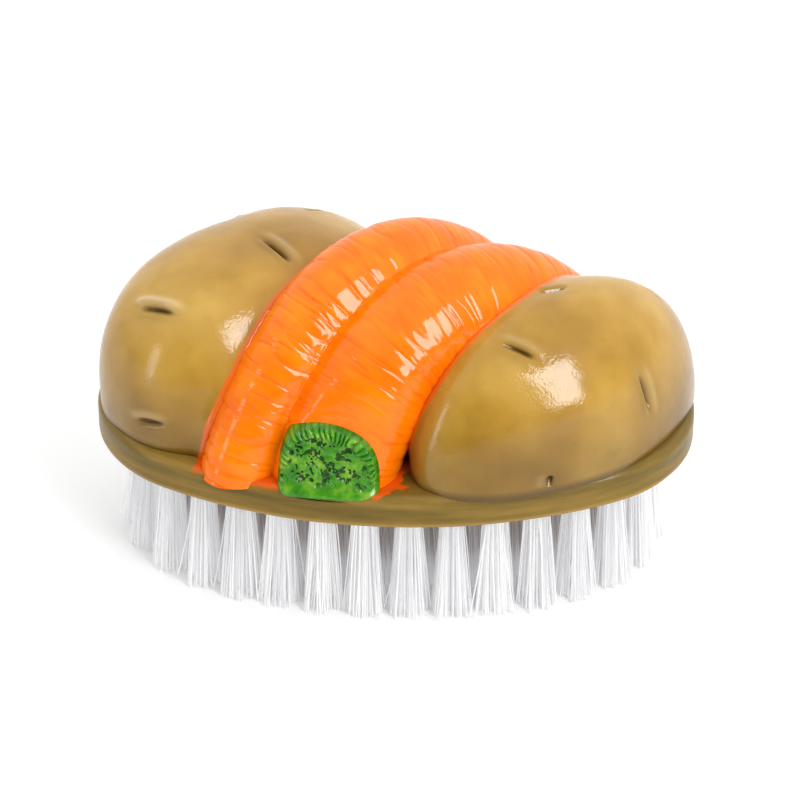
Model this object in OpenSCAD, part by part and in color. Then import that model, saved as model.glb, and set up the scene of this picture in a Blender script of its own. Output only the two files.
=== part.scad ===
// Vegetable brush: a palm-held scrubbing brush whose cast resin handle shows two
// potatoes and two carrots on an oval plate, with a tufted bristle block glued
// into the underside. Millimetres, +Z up, standing on the bristle tips at z = 0.

/* [Plate] */
// Length of the oval plate, left to right
plate_length = 120; // [114:1:128]
// Width of the oval plate, front to back
plate_width = 75; // [71:1:81]
// Radius of the plate's two end arcs
plate_end_radius = 30; // [28:0.5:32]
// Height of the plate's rim wall
plate_thickness = 7; // [6.6:0.2:9]
// Rounding of the plate's upper edge
plate_top_round = 1.6; // [0.6:0.2:2]
// Rounding of the plate's lower edge
plate_bottom_round = 0.8; // [0.4:0.2:1.2]
// Rim wall left around the pocket for the bristle block
pocket_wall = 4; // [3:0.5:5]
// How far the rim stands below the face of the bristle block
rim_lip = 0.4; // [0.2:0.1:0.8]

/* [Bristle block] */
// Thickness of the drilled block above its tufted skin
block_thickness = 3.2; // [3:0.1:3.4]
// Thickness of the block's tufted skin that carries the strands
skin_thickness = 1; // [0.8:0.1:1.2]
// Thickness of the adhesive between the block and the pocket's ceiling
glue_thickness = 0.4; // [0.2:0.1:0.5]
// Clearance around the block in its pocket
block_clearance = 0.2; // [0.1:0.05:0.4]

/* [Tufts] */
// Free length of the bristles below the block's face
bristle_length = 25.4; // [20:0.2:30]
// Diameter of the drilled tuft holes
tuft_diameter = 5; // [4.4:0.1:5.4]
// Clearance of a tuft's folded root in its hole
root_clearance = 0.05; // [0.02:0.01:0.1]
// Depth of the drilled tuft holes
hole_depth = 2.6; // [2.4:0.1:2.8]
// Distance from the block's edge to the centres of the outer tufts
edge_margin = 5.3; // [4.8:0.1:5.8]
// Distance from one ring of tufts to the next
ring_spacing = 9.3; // [9:0.1:9.4]
// Fullness of the rings' ovals, 2 is a plain ellipse
ring_fullness = 2.1; // [2:0.05:2.15]
// Gap between neighbouring slices of the block's skin
slice_gap = 0.2; // [0.2:0.05:0.4]
// Tufts in the outer ring
outer_ring_tufts = 30; // [26:2:30]
// Tufts in the second ring
second_ring_tufts = 23; // [20:1:24]
// Tufts in the third ring
third_ring_tufts = 16; // [14:1:17]
// Tufts in the middle row
middle_row_tufts = 6; // [4:1:6]
// How far a tuft's strands stand from its axis at their tips
tip_spread = 2.9; // [2.4:0.1:3]
// How far the outer tufts lean outwards at their tips
tip_lean = 1.2; // [0:0.1:1.6]
// Size of a strand's cut tip, from its middle to a corner
tip_radius = 0.55; // [0.4:0.05:0.6]

/* [Tuft anchors] */
// Thickness of the flat anchor wire
anchor_thickness = 0.4; // [0.3:0.05:0.5]
// Height of the flat anchor wire
anchor_height = 1.2; // [1:0.1:1.4]
// How far an anchor's ends bite into the block beyond its hole
anchor_bite = 0.8; // [0.5:0.1:0.9]

/* [Left potato] */
// Position of its middle, left to right
left_potato_x = -27.1; // [-30:0.5:-26]
// Position of its middle, front to back
left_potato_y = 5.3; // [3:0.5:7]
// Height of its middle above the plate
left_potato_lift = 3.9; // [2:0.2:6]
// Half of its length
left_potato_half_length = 34.5; // [32:0.5:36]
// Half of its width
left_potato_half_width = 23.9; // [22:0.5:26]
// Half of its height
left_potato_half_height = 29.1; // [27:0.5:31]
// Direction of its length, from the left-right axis
left_potato_turn = 39.5; // [34:1:44]

/* [Right potato] */
// Position of its middle, left to right
right_potato_x = 32.3; // [30:0.5:34]
// Position of its middle, front to back
right_potato_y = -10.2; // [-12:0.5:-8]
// Height of its middle above the plate
right_potato_lift = -0.3; // [-2:0.2:2]
// Half of its length
right_potato_half_length = 34.6; // [32:0.5:36]
// Half of its width
right_potato_half_width = 20; // [18.5:0.5:22]
// Half of its height
right_potato_half_height = 31.2; // [29:0.5:33]
// Direction of its length, from the left-right axis
right_potato_turn = 43; // [38:1:48]

/* [Potato eyes] */
// Depth of an eye at its middle
eye_depth = 1.1; // [0.6:0.1:1.6]
// Width of an eye across its slit
eye_width = 2.2; // [1.6:0.1:3]

/* [Left carrot] */
// Position of its middle, left to right
left_carrot_x = -3.5; // [-4.5:0.5:-2.5]
// Position of its middle, forward of the plate's back edge
left_carrot_from_back = 39.7; // [38.7:0.5:40.7]
// Direction of its length, from the front-back axis
left_carrot_turn = 46; // [43:1:49]
// Half of the span of its arch
left_carrot_reach = 35.7; // [34:0.5:36.5]
// Rise of its arch
left_carrot_rise = 32.4; // [30.5:0.5:34]
// Fullness of its arch, lower is fuller at the shoulders
left_carrot_slope = 1.6; // [1.3:0.1:1.8]
// Radius at its front end, the tip
left_carrot_front_radius = 7.5; // [6.8:0.2:8.2]
// Radius at its back end, below the crown
left_carrot_back_radius = 12.2; // [11.4:0.2:12.8]

/* [Right carrot] */
// Position of its middle, left to right
right_carrot_x = 12.9; // [12:0.5:14]
// Position of its middle, behind the plate's front edge
right_carrot_from_front = 30.2; // [29.2:0.5:31.2]
// Direction of its length, from the front-back axis
right_carrot_turn = 51; // [48:1:54]
// Half of the span of its arch
right_carrot_reach = 30.2; // [29:0.5:31.5]
// Rise of its arch
right_carrot_rise = 28.2; // [26.5:0.5:30]
// Fullness of its arch, lower is fuller at the shoulders
right_carrot_slope = 1.26; // [1.1:0.1:1.6]
// Radius at its front end, below the crown
right_carrot_front_radius = 13; // [12.2:0.2:13.6]
// Radius at its back end, the tip
right_carrot_back_radius = 11.2; // [10.4:0.2:12]

/* [Carrot skin] */
// Depth of an arch's ends below the plate's top
carrot_root = 3.5; // [2.5:0.5:5]
// Height of the growth rings
ring_height = 0.35; // [0:0.05:0.6]
// Growth rings along a carrot
growth_rings = 21; // [16:1:24]
// Clearance between a carrot and the forms that it lies on
carrot_clearance = 0.15; // [0.1:0.05:0.4]

/* [Crowns] */
// Radius of a leafy crown
crown_radius = 9.8; // [9:0.2:10.6]
// Height of a crown's middle above the plate's top
crown_height = 4.5; // [3.5:0.5:5.5]
// How far a crown stands out from the carrot's skin
crown_swell = 0.5; // [0.2:0.1:1]
// Length of a crown, back from its cut face
crown_length = 6; // [5:0.5:8]
// Sideways shift of a crown from the middle of the carrot's end
crown_shift = 0.5; // [-1:0.5:2]
// Turn of a crown's cut face from the left-right axis
crown_turn = 5; // [0:1:12]
// Lean of a crown's cut face away from upright
crown_lean = 12; // [6:1:18]
// Setback of a crown's cut face from the plate's rim
crown_setback = 0.4; // [0.2:0.1:1]
// Depth of the pits and grooves in a crown
crown_groove = 0.9; // [0.5:0.1:1.2]

/* [Hidden] */
$fn = 48;
far = 200;

rim_x = plate_length / 2;
rim_y = plate_width / 2;
end_middle = rim_x - plate_end_radius;
side_radius = (end_middle ^ 2 + rim_y ^ 2 - plate_end_radius ^ 2) / (2 * (rim_y - plate_end_radius));
side_middle = side_radius - rim_y;
seam_angle = atan2(side_middle, end_middle);
face_z = bristle_length;
plate_bottom = face_z - rim_lip;
plate_top = plate_bottom + plate_thickness;
block_z = face_z + skin_thickness;
glue_z = block_z + block_thickness;
ceiling_z = glue_z + glue_thickness;

block_inset = pocket_wall + block_clearance;
tuft_inset = block_inset + edge_margin;

root_diameter = tuft_diameter - 2 * root_clearance;
root_height = hole_depth - root_clearance;
anchor_length = tuft_diameter + 2 * anchor_bite;
anchor_z = block_z + (hole_depth - anchor_height) / 2;
left_carrot_y = rim_y - left_carrot_from_back;
right_carrot_y = right_carrot_from_front - rim_y;

// One tuft ring is [half length, half width, tufts, lean]; the last is a straight row
outer_ring = [rim_x - tuft_inset, rim_y - tuft_inset, outer_ring_tufts, tip_lean];
second_ring = inner_ring(outer_ring, second_ring_tufts);
third_ring = inner_ring(second_ring, third_ring_tufts);
middle_row = inner_ring(third_ring, middle_row_tufts);

// One potato is [middle, half sizes, turn, roundness of its side, roundness of its plan]
left_potato_form = [
    [left_potato_x, left_potato_y, plate_top + left_potato_lift],
    [left_potato_half_length, left_potato_half_width, left_potato_half_height],
    left_potato_turn, 0.83, 0.82
];
right_potato_form = [
    [right_potato_x, right_potato_y, plate_top + right_potato_lift],
    [right_potato_half_length, right_potato_half_width, right_potato_half_height],
    right_potato_turn, 0.93, 1.15
];

// One carrot is [middle, turn, reach, rise, slope, front radius, back radius]
left_carrot_form = [
    [left_carrot_x, left_carrot_y, plate_top - carrot_root],
    left_carrot_turn, left_carrot_reach, left_carrot_rise, left_carrot_slope,
    left_carrot_front_radius, left_carrot_back_radius
];
right_carrot_form = [
    [right_carrot_x, right_carrot_y, plate_top - carrot_root],
    right_carrot_turn, right_carrot_reach, right_carrot_rise, right_carrot_slope,
    right_carrot_front_radius, right_carrot_back_radius
];

// Small helpers

function unit(v) = v / norm(v);
function mix(a, b, share) = a + (b - a) * share;
function signed_power(v, p) = sign(v) * pow(abs(v), p);

// Potatoes

// Distance from a potato's middle to its skin, along a direction in its own axes
function potato_radius(form, dir) =
    let (u = [for (i = [0:2]) abs(dir[i]) / form[1][i]])
    let (plan = pow(pow(u.x, 2 / form[4]) + pow(u.y, 2 / form[4]), form[4] / form[3]))
    let (round = pow(plan + pow(u.z, 2 / form[3]), -form[3] / 2))
    round * (1 + potato_lumps(dir));

// Low swells that keep a potato from being a plain egg
function potato_lumps(dir) =
    0.007 * sin(170 * dir.x + 60 * dir.y + 20)
    + 0.006 * sin(210 * dir.y - 120 * dir.z + 75)
    + 0.005 * sin(260 * dir.z + 150 * dir.x);

function potato_dir(azimuth, elevation) = [
    cos(elevation) * cos(azimuth),
    cos(elevation) * sin(azimuth),
    sin(elevation)
];

module potato_body(form, columns = 52, rows = 26) {
    skin = [
        for (r = [1:rows - 1], c = [0:columns - 1])
            let (dir = potato_dir(360 * c / columns, 180 * r / rows - 90))
            dir * potato_radius(form, dir)
    ];
    foot = [0, 0, -potato_radius(form, [0, 0, -1])];
    top = [0, 0, potato_radius(form, [0, 0, 1])];
    last = len(skin);
    sides = [
        for (r = [0:rows - 3], c = [0:columns - 1])
            let (a = r * columns + c, b = r * columns + (c + 1) % columns)
            each [[a, a + columns, b], [b, a + columns, b + columns]]
    ];
    caps = [
        for (c = [0:columns - 1])
            let (next = (c + 1) % columns, high = (rows - 2) * columns)
            each [[last, c, next], [last + 1, high + next, high + c]]
    ];
    translate(form[0])
        rotate(form[2])
            polyhedron(concat(skin, [foot, top]), concat(sides, caps));
}

// An eye is a short slit that lies on the skin in direction [azimuth, elevation, slant, length]
module potato_eye(form, eye) {
    dir = potato_dir(eye[0], eye[1]);
    reach = potato_radius(form, dir) + eye_width / 2 - eye_depth;
    translate(form[0])
        rotate([0, 0, form[2]])
            rotate([0, 0, eye[0]])
                rotate([0, 90 - eye[1], 0])
                    rotate([0, 0, eye[2]])
                        translate([0, 0, reach])
                            hull() {
                                for (side = [-1, 1])
                                    translate([0, side * eye[3] / 2, 0])
                                        sphere(d = eye_width * 0.6, $fn = 8);
                                sphere(d = eye_width, $fn = 10);
                            }
}

left_potato_eyes = [
    [-176, 39, 18, 8], [-165, 2, 10, 6], [-90, 79, -85, 8], [21, 53, -102, 5],
    [100, 35, 20, 6], [60, 8, 75, 4], [135, 14, 40, 5], [80, 58, 60, 4]
];
right_potato_eyes = [
    [-161, 58, 0, 6], [-67, 36, -87, 7], [-134, 6, 79, 2], [75, 84, 172, 5],
    [0, 44, -104, 4], [20, 20, 60, 4], [55, 48, 20, 5], [85, 25, 80, 5]
];

module potato(form, eyes) {
    difference() {
        potato_body(form);
        for (eye = eyes)
            potato_eye(form, eye);
        carrot_body(left_carrot_form, carrot_clearance, 24, 12, false);
        carrot_body(right_carrot_form, carrot_clearance, 24, 12, false);
        below_plate_top();
    }
}

module below_plate_top() {
    translate([-far / 2, -far / 2, plate_top - far])
        cube([far, far, far]);
}

// Keeps what lies to the left (-1) or to the right (1) of a carrot's upright middle plane
module beside_carrot(form, side) {
    translate([form[0].x, form[0].y, 0])
        rotate(-form[1])
            translate([side > 0 ? 0 : -far, -far / 2, 0])
                cube([far, far, far]);
}

// Carrots

// Middle of a carrot's arch, from its front end (0) to its back end (1)
function arch_point(form, t) =
    let (angle = 180 * (1 - t), along = form[2] * cos(angle))
    form[0] + [
        along * sin(form[1]),
        along * cos(form[1]),
        form[3] * pow(sin(angle), form[4])
    ];

// Direction that points out of the arch, square to its run
function arch_normal(form, t) =
    let (step = 0.002, a = max(t - step, 0), b = min(t + step, 1))
    let (run = unit(arch_point(form, b) - arch_point(form, a)))
    unit(cross(arch_side(form), run));

// Level direction across a carrot
function arch_side(form) = [cos(form[1]), -sin(form[1]), 0];

// Growth rings of uneven height that fade and shift around the carrot
function ring_wave(t, angle) =
    let (turn = 360 * growth_rings * t)
    ring_height * (
        0.5 * sin(turn + 50 * sin(angle + 900 * t))
        + 0.3 * sin(0.37 * turn + angle)
        + 0.2 * sin(1.7 * turn - 2 * angle)
    );

function carrot_radius(form, t, angle, ridged) =
    mix(form[5], form[6], t) + (ridged ? ring_wave(t, angle) - ring_height : 0);

// A carrot is a swept half round whose flanks close on a core under the arch
module carrot_body(form, grow, steps, arc, ridged) {
    wrap = 112;
    core = [
        for (side = [-1, 1])
            form[0] + arch_side(form) * side * (form[5] + form[6]) / 2.2 - [0, 0, 2]
    ];
    skin = [
        for (i = [0:steps], j = [0:arc])
            let (t = i / steps, angle = mix(-wrap, wrap, j / arc))
            let (radius = carrot_radius(form, t, angle, ridged) + grow)
            arch_point(form, t)
                + radius * cos(angle) * arch_normal(form, t)
                + radius * sin(angle) * arch_side(form)
    ];
    row = arc + 1;
    left_core = len(skin);
    right_core = left_core + 1;
    outer = [
        for (i = [0:steps - 1], j = [0:arc - 1])
            let (a = i * row + j, b = a + row)
            each [[a, b, a + 1], [a + 1, b, b + 1]]
    ];
    flanks = [
        for (i = [0:steps - 1])
            let (a = i * row, b = a + row)
            each [[b, a, left_core], [a + arc, b + arc, right_core]]
    ];
    ends = [
        for (j = [0:arc - 1])
            let (b = steps * row + j)
            each [[j, j + 1, left_core], [b + 1, b, left_core]]
    ];
    closing = [
        [arc, right_core, left_core],
        [steps * row + arc, left_core, right_core]
    ];
    polyhedron(concat(skin, core), concat(outer, flanks, ends, closing));
}

// Short creases across the skin, as [share of the length, angle around, width]
carrot_creases = [
    [0.17, -35, 3], [0.24, 30, 4], [0.31, -10, 3], [0.38, 42, 4], [0.46, 5, 3],
    [0.55, -38, 4], [0.63, 24, 3], [0.71, -15, 4], [0.79, 36, 3], [0.86, -28, 3]
];

module carrot_crease(form, crease) {
    t = crease[0];
    radius = carrot_radius(form, t, crease[1], true);
    hull()
        for (side = [-1, 1])
            translate(crease_point(form, t, crease[1] + side * 28.6 * crease[2] / radius, radius))
                sphere(r = 0.45, $fn = 6);
}

function crease_point(form, t, angle, radius) =
    arch_point(form, t)
        + radius * cos(angle) * arch_normal(form, t)
        + radius * sin(angle) * arch_side(form);

module carrot(form) {
    difference() {
        carrot_body(form, 0, 4 * growth_rings, 12, true);
        for (crease = carrot_creases)
            carrot_crease(form, crease);
        below_plate_top();
    }
}

// Crowns

// Half width of the plate at a distance x from its middle
function rim_at(x) =
    abs(x) > end_middle
        ? sqrt(plate_end_radius ^ 2 - (abs(x) - end_middle) ^ 2)
        : sqrt(side_radius ^ 2 - x ^ 2) - side_middle;

// Middle of a crown's cut face on the plate's top: front is -1, back is 1
function crown_middle(form, facing) =
    let (x = form[0].x + facing * form[2] * sin(form[1]) + facing * crown_shift)
    [x, facing * (rim_at(x) - crown_setback), plate_top];

// Turns what points along +Y into the direction that a crown faces
module facing_crown(form, facing) {
    translate(crown_middle(form, facing))
        rotate((facing > 0 ? 0 : 180) - crown_turn)
            children();
}

// What a crown's cut takes off: everything beyond a leaning face at the plate's rim
module crown_cut(form, facing) {
    facing_crown(form, facing)
        rotate([crown_lean, 0, 0])
            translate([-far / 2, 0, -far / 2])
                cube([far, far, far]);
}

module crown_stub(form, facing) {
    facing_crown(form, facing)
        translate([0, -crown_length, crown_height])
            rotate([-90, 0, 0])
                cylinder(r = crown_radius, h = 2 * crown_length);
}

module crown(form, facing) {
    difference() {
        intersection() {
            carrot_body(form, crown_swell, 36, 16, false);
            crown_stub(form, facing);
        }
        crown_cut(form, facing);
        below_plate_top();
        facing_crown(form, facing)
            translate([0, 0, crown_height])
                rotate([-90, 0, 0])
                    crown_texture();
    }
}

// Grooves that spread from the middle of the cut face, and pits between them
module crown_texture() {
    stubs = 13;
    for (i = [0:stubs - 1]) {
        angle = -180 * i / (stubs - 1);
        rotate(angle)
            hull() {
                translate([crown_radius * 0.72, 0, -crown_length * 0.25])
                    sphere(r = crown_groove * 0.5, $fn = 6);
                translate([crown_radius * 1.04, 0, -crown_length * 0.6])
                    sphere(r = crown_groove, $fn = 6);
            }
        rotate(angle * 1.7 + 30)
            translate([crown_radius * (0.12 + 0.14 * (i % 4)), 0, -crown_length * 0.1])
                sphere(r = crown_groove, $fn = 8);
    }
}

// Handle

// The plate's outside, from the pocket's ceiling round the rim to its top, is one loft of
// ovals, each given as [inset from the rim, height]
module base_plate() {
    color("DarkKhaki")
        oval_loft(concat(
            [[pocket_wall, ceiling_z], [pocket_wall, plate_bottom]],
            corner_levels(plate_bottom_round, plate_bottom, -90, 2),
            corner_levels(plate_top_round, plate_top, 0, 3)
        ));
}

// Levels of a rounded edge, from the start angle on: -90 is the lower edge, 0 the upper
function corner_levels(radius, height, start, steps) = [
    for (step = [0:steps])
        let (angle = start + 90 * step / steps)
        [radius * (1 - cos(angle)), height + radius * (sin(angle) + (start < 0 ? 1 : -1))]
];

// Stations around the oval, by the direction that the rim faces
oval_stations = [for (k = [0:71]) 5 * k];

module oval_loft(levels) {
    count = len(oval_stations);
    skin = [
        for (level = levels, angle = oval_stations)
            let (p = oval_edge(level[0], angle))
            [p.x, p.y, level[1]]
    ];
    bands = [
        for (i = [0:len(levels) - 2], k = [0:count - 1])
            let (a = i * count + k, b = i * count + (k + 1) % count)
            each [[a, a + count, b], [b, a + count, b + count]]
    ];
    top = (len(levels) - 1) * count;
    ends = [
        [for (k = [0:count - 1]) k],
        [for (k = [0:count - 1]) top + count - 1 - k]
    ];
    polyhedron(skin, concat(bands, ends));
}

// A flat oval that lies inset from the plate's rim
module oval_disc(inset, low, high) {
    translate([0, 0, low])
        linear_extrude(high - low)
            polygon([for (angle = oval_stations) oval_edge(inset, angle)]);
}

module left_potato() {
    color("DarkGoldenrod")
        intersection() {
            potato(left_potato_form, left_potato_eyes);
            beside_carrot(left_carrot_form, -1);
        }
}

module right_potato() {
    color("DarkGoldenrod")
        intersection() {
            potato(right_potato_form, right_potato_eyes);
            beside_carrot(right_carrot_form, 1);
        }
}

module left_carrot() {
    color("DarkOrange")
        difference() {
            carrot(left_carrot_form);
            carrot_body(right_carrot_form, carrot_clearance, 24, 12, false);
            crown_stub(left_carrot_form, 1);
            crown_cut(left_carrot_form, 1);
        }
}

module right_carrot() {
    color("DarkOrange")
        difference() {
            carrot(right_carrot_form);
            crown_stub(right_carrot_form, -1);
            crown_cut(right_carrot_form, -1);
        }
}

module left_carrot_crown() {
    color("ForestGreen")
        difference() {
            crown(left_carrot_form, 1);
            carrot_body(right_carrot_form, carrot_clearance, 24, 12, false);
        }
}

module right_carrot_crown() {
    color("ForestGreen")
        crown(right_carrot_form, -1);
}

// Bristle block

module bristle_block() {
    color("WhiteSmoke")
        difference() {
            oval_disc(block_inset, block_z, glue_z);
            for (ring = [outer_ring, second_ring, third_ring, middle_row])
                at_tufts(ring) {
                    translate([0, 0, block_z - 1])
                        cylinder(d = tuft_diameter, h = hole_depth + 1);
                    anchor_wire();
                }
        }
}

module glue_bed() {
    color("Wheat")
        oval_disc(pocket_wall, glue_z, ceiling_z);
}

// Rings of tufts

function inner_ring(ring, tufts) =
    [ring[0] - ring_spacing, ring[1] - ring_spacing, tufts, ring[3] * 0.6];

function is_row(ring) = ring[1] < ring_spacing / 2;

function oval_point(a, b, angle) = [
    a * signed_power(cos(angle), 2 / ring_fullness),
    b * signed_power(sin(angle), 2 / ring_fullness)
];

// Pairs of [length along the oval, angle], for placing tufts at equal steps
function oval_lengths(a, b) = [
    for (angle = 0, length = 0; angle <= 360;
        length = length + norm(oval_point(a, b, angle + 2) - oval_point(a, b, angle)),
        angle = angle + 2)
        [length, angle]
];

// Angles of the tufts' middles (even places) and of the seams between them (odd places)
function ring_angles(ring) =
    let (table = oval_lengths(ring[0], ring[1]), total = table[len(table) - 1][0])
    [for (k = [0:2 * ring[2] - 1]) lookup(total * k / (2 * ring[2]), table)];

// Distances along a row of the tufts' middles (odd places) and of the seams (even places)
function row_places(ring) =
    [for (k = [0:2 * ring[2]]) ring[0] * (k / ring[2] - 1) * ring[2] / (ring[2] - 1)];

// Middle of a tuft with the directions along and out of its ring
function ring_frame(ring, angle) =
    let (run = unit(oval_point(ring[0], ring[1], angle + 1) - oval_point(ring[0], ring[1], angle - 1)))
    [oval_point(ring[0], ring[1], angle), run, [run.y, -run.x]];

function tuft_frames(ring) = is_row(ring)
    ? let (places = row_places(ring))
        [for (i = [0:ring[2] - 1]) [[places[2 * i + 1], 0], [-1, 0], [0, 1]]]
    : let (angles = ring_angles(ring))
        [for (i = [0:ring[2] - 1]) ring_frame(ring, angles[2 * i])];

module at_tufts(ring) {
    for (frame = tuft_frames(ring))
        translate(frame[0])
            rotate(atan2(frame[1].y, frame[1].x))
                children();
}

// The flat wire that holds a folded tuft, lying along the ring
module anchor_wire() {
    translate([-anchor_length / 2, -anchor_thickness / 2, anchor_z])
        cube([anchor_length, anchor_thickness, anchor_height]);
}

module tuft_roots(ring) {
    color("White")
        at_tufts(ring)
            difference() {
                translate([0, 0, block_z])
                    cylinder(d = root_diameter, h = root_height);
                anchor_wire();
            }
}

module tuft_anchors(ring) {
    color("Silver")
        at_tufts(ring)
            anchor_wire();
}

// Where strand j of a tuft ends: its middle at z = 0
function tip_middle(frame, lean, i, j) =
    let (angle = 60 * j + 60 + 9 * sin(137 * (i + 3 * j)))
    let (out = tip_spread * (0.9 + 0.1 * sin(211 * i + 97 * j)))
    frame[0] + lean * frame[2] + out * (cos(angle) * frame[1] + sin(angle) * frame[2]);

function tip_corner(frame, lean, i, j, turn) =
    let (angle = 60 * j + 60 + turn)
    let (corner = tip_middle(frame, lean, i, j)
        + tip_radius * (cos(angle) * frame[1] + sin(angle) * frame[2]))
    [corner.x, corner.y, 0];

// Edge of a slice beside station k: the outer edge (1) or the inner edge (-1)
function slice_edge(ring, k, side) =
    is_row(ring)
        ? let (place = row_places(ring)[k], a = ring[0] + ring_spacing / 2 - slice_gap)
            let (b = ring[1] + ring_spacing / 2 - slice_gap)
            let (x = min(abs(place), a * 0.99) * sign(place))
            [x, side * b * sqrt(1 - (x / a) ^ 2)]
        : let (angle = ring_angles(ring)[k])
            side > 0 && ring[0] == outer_ring[0]
                ? oval_edge(block_inset, atan2(ring[0] * sin(angle), ring[1] * cos(angle)))
                : let (shift = side * ring_spacing / 2 - (side > 0 ? slice_gap : 0))
                    oval_point(ring[0] + shift, ring[1] + shift, angle);

// Point of the inset four-arc oval whose outward direction is the angle
function oval_edge(inset, angle) =
    let (out = [cos(angle), sin(angle)])
    let (at_end = atan2(abs(out.y), abs(out.x)) < seam_angle)
    let (middle = at_end ? [sign(out.x) * end_middle, 0] : [0, -sign(out.y) * side_middle])
    middle + ((at_end ? plate_end_radius : side_radius) - inset) * out;

// A ring of tufts on its slice of the block's skin. Each tuft splits into six tapered
// strands with three sides, which start as neighbouring slices of one round bundle.
module ring_bristles(ring) {
    frames = tuft_frames(ring);
    row = is_row(ring);
    stations = 2 * ring[2] + (row ? 1 : 0);
    sides = [for (side = [1, -1]) [for (k = [0:stations - 1]) slice_edge(ring, k, side)]];
    edge = [for (z = [face_z, block_z], side = sides, p = side) [p.x, p.y, z]];
    tufts = [
        for (i = [0:ring[2] - 1])
            let (frame = frames[i], middle = frame[0])
            each concat(
                [[middle.x, middle.y, face_z]],
                [
                    for (j = [0:5])
                        let (p = middle + tuft_diameter / 2
                            * (cos(60 * j + 30) * frame[1] + sin(60 * j + 30) * frame[2]))
                        [p.x, p.y, face_z]
                ],
                [
                    for (j = [0:5], turn = [180, -60, 60])
                        tip_corner(frame, ring[3], i, j, turn)
                ]
            )
    ];
    polyhedron(
        concat(edge, tufts),
        concat(
            [for (i = [0:ring[2] - 1]) each slice_faces(i, stations, row)],
            [for (i = [0:ring[2] - 1], j = [0:5]) each strand_faces(4 * stations + 25 * i, j)],
            row ? end_faces(stations) : []
        )
    );
}

// Faces of the slice around tuft i, between its stations on the slice's edges
function slice_faces(i, stations, row) =
    let (first = row ? 2 * i : 2 * i - 1, base = 4 * stations + 25 * i)
    let (left = row ? first + 2 : first, right = row ? first : first + 2, mid = first + 1)
    let (around = [[0, right], [0, mid], [0, left], [1, left], [1, mid], [1, right]])
    let (low = [for (p = around) p[0] * stations + (p[1] + stations) % stations])
    let (high = [for (place = low) place + 2 * stations])
    concat(
        [
            for (j = [0:5])
                let (next = (j + 1) % 6)
                each [
                    [low[j], base + 1 + j, base + 1 + next],
                    [low[next], low[j], base + 1 + next]
                ]
        ],
        [
            [high[5], high[0], high[1]], [high[4], high[5], high[1]],
            [high[4], high[1], high[2]], [high[3], high[4], high[2]]
        ],
        [
            for (j = [0, 1, 3, 4])
                each [
                    [high[j], low[j], low[j + 1]],
                    [high[j + 1], high[j], low[j + 1]]
                ]
        ]
    );

function end_faces(stations) =
    let (last = stations - 1)
    let (near = [0, stations, 2 * stations, 3 * stations])
    [
        [near[0], near[2], near[1]], [near[2], near[3], near[1]],
        [near[0] + last, near[1] + last, near[2] + last],
        [near[2] + last, near[1] + last, near[3] + last]
    ];

function strand_faces(base, j) =
    let (root = [base, base + 1 + j, base + 1 + (j + 1) % 6])
    let (tip = [for (k = [0:2]) base + 7 + 3 * j + k])
    concat(
        [[tip[1], tip[0], tip[2]]],
        [
            for (k = [0:2])
                let (next = (k + 1) % 3)
                each [[root[next], root[k], tip[k]], [tip[next], root[next], tip[k]]]
        ]
    );

module outer_ring_bristles() {
    color("GhostWhite")
        ring_bristles(outer_ring);
}

module second_ring_bristles() {
    color("GhostWhite")
        ring_bristles(second_ring);
}

module third_ring_bristles() {
    color("GhostWhite")
        ring_bristles(third_ring);
}

module middle_row_bristles() {
    color("GhostWhite")
        ring_bristles(middle_row);
}

module outer_ring_tuft_roots() {
    tuft_roots(outer_ring);
}

module second_ring_tuft_roots() {
    tuft_roots(second_ring);
}

module third_ring_tuft_roots() {
    tuft_roots(third_ring);
}

module middle_row_tuft_roots() {
    tuft_roots(middle_row);
}

module outer_ring_anchors() {
    tuft_anchors(outer_ring);
}

module second_ring_anchors() {
    tuft_anchors(second_ring);
}

module third_ring_anchors() {
    tuft_anchors(third_ring);
}

module middle_row_anchors() {
    tuft_anchors(middle_row);
}

base_plate();
left_potato();
right_potato();
left_carrot();
right_carrot();
left_carrot_crown();
right_carrot_crown();
bristle_block();
glue_bed();
outer_ring_bristles();
second_ring_bristles();
third_ring_bristles();
middle_row_bristles();
outer_ring_tuft_roots();
second_ring_tuft_roots();
third_ring_tuft_roots();
middle_row_tuft_roots();
outer_ring_anchors();
second_ring_anchors();
third_ring_anchors();
middle_row_anchors();
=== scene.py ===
import math

import bpy
import numpy as np
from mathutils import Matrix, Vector


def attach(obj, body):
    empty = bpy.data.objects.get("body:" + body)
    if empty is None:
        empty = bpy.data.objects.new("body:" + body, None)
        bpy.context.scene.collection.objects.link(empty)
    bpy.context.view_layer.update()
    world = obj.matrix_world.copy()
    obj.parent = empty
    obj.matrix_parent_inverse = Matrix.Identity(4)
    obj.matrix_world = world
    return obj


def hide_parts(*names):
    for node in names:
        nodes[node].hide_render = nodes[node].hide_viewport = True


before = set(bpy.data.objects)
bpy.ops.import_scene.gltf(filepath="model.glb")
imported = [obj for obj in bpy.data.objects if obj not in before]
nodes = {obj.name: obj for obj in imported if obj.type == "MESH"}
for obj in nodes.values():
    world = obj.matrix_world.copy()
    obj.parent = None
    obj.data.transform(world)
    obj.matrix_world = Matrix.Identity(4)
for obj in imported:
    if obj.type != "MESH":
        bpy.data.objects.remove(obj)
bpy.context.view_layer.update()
scene = bpy.context.scene
MM = 0.001


# Camera
# The photograph looks down on the brush from the front with a long lens, a little to the
# right of square on.
CAMERA_AZIMUTH = math.radians(3.5)
CAMERA_ELEVATION = math.radians(32)
CAMERA_DISTANCE = 0.65
AIM = Vector((0, 0, 0.038))
LENS, SENSOR = 146.25, 36
PICTURE_PIXELS = 800
SHIFT_RIGHT_PIXELS, SHIFT_UP_PIXELS = 4.4, -31.5

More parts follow.
